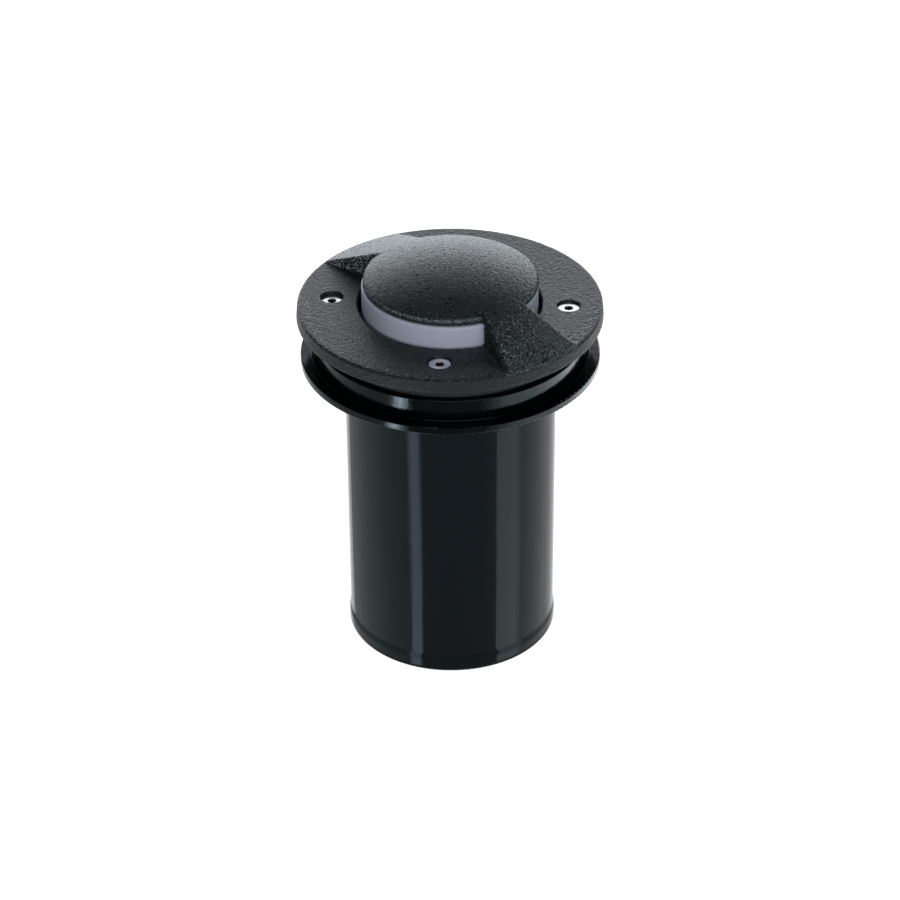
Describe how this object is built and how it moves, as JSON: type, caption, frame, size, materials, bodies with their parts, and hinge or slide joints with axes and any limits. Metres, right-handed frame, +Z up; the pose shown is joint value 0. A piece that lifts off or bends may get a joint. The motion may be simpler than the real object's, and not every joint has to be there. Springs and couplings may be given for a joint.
{
  "type": "in-ground well light",
  "caption": "In-ground well light: hooded round cast cover with side windows over a frosted lens, on a sealed fixture that drops into a buried tube sleeve.",
  "frame": {"origin": "centre of the sleeve's foot, at its lowest level", "axes": "+Z up along the light's axis; the windows look towards -X with -Y and towards +X with +Y; the wings stand between them"},
  "size_m": [0.128, 0.128, 0.1772],
  "materials": {
    "sleeve_tube": "glossy black moulded plastic",
    "sleeve_flange": "glossy black moulded plastic",
    "seat_ring": "matt black rubber",
    "can": "glossy black moulded plastic",
    "collar": "glossy black moulded plastic",
    "thread_inserts": "bare brass",
    "lens_seal": "brick-red silicone",
    "lens": "frosted glass",
    "cover_gasket": "matt black rubber",
    "cover": "black sand-textured powder coat on cast metal",
    "cover_screws": "stainless steel",
    "lamp_bracket": "zinc-plated sheet steel",
    "bracket_screws": "zinc-plated steel",
    "gimbal_ring": "die-cast aluminium",
    "pivot_screws": "stainless steel",
    "pivot_washers": "white nylon",
    "lamp_clip": "spring steel wire",
    "lamp_reflector": "pressed glass with a bright coating",
    "lamp_front_glass": "clear glass",
    "lamp_capsule": "clear quartz glass",
    "lamp_pins": "nickel-plated pins",
    "lamp_holder": "off-white ceramic",
    "lamp_leads": "pale silicone insulation",
    "terminal_block": "white nylon",
    "terminal_screws": "bare brass",
    "gland_body": "black nylon",
    "gland_washer": "matt black rubber",
    "gland_locknut": "black nylon",
    "gland_seal": "matt black rubber",
    "gland_cap": "black nylon"
  },
  "bodies": {
    "sleeve": {"sleeve_tube": "sleeve_tube", "sleeve_flange": "sleeve_flange"},
    "ring": {"seat_ring": "seat_ring"},
    "fixture": {"can": "can", "collar": "collar", "thread_inserts": "thread_inserts", "lens_seal": "lens_seal", "lens": "lens", "cover_gasket": "cover_gasket", "cover": "cover", "cover_screws": "cover_screws", "lamp_bracket": "lamp_bracket", "bracket_screws": "bracket_screws", "pivot_washers": "pivot_washers", "lamp_leads": "lamp_leads", "terminal_block": "terminal_block", "terminal_screws": "terminal_screws", "gland_body": "gland_body", "gland_washer": "gland_washer", "gland_locknut": "gland_locknut", "gland_seal": "gland_seal", "gland_cap": "gland_cap"},
    "lamp": {"gimbal_ring": "gimbal_ring", "pivot_screws": "pivot_screws", "lamp_clip": "lamp_clip", "lamp_reflector": "lamp_reflector", "lamp_front_glass": "lamp_front_glass", "lamp_capsule": "lamp_capsule", "lamp_pins": "lamp_pins", "lamp_holder": "lamp_holder"}
  },
  "joints": [
    {"name": "fixture_lift", "type": "slide", "parent": "sleeve", "child": "ring", "axis": [0, 0, 1], "range_m": [0, 0.125]},
    {"name": "fixture_turn", "type": "hinge", "parent": "ring", "child": "fixture", "pos_m": [0, 0, 0.1354], "axis": [0, 0, 1], "continuous": true},
    {"name": "lamp_tilt", "type": "hinge", "parent": "fixture", "child": "lamp", "pos_m": [0, 0, 0.12], "axis": [1, 0, 0], "range_deg": [-20, 20], "deforming": ["lamp_leads"]}
  ]
}
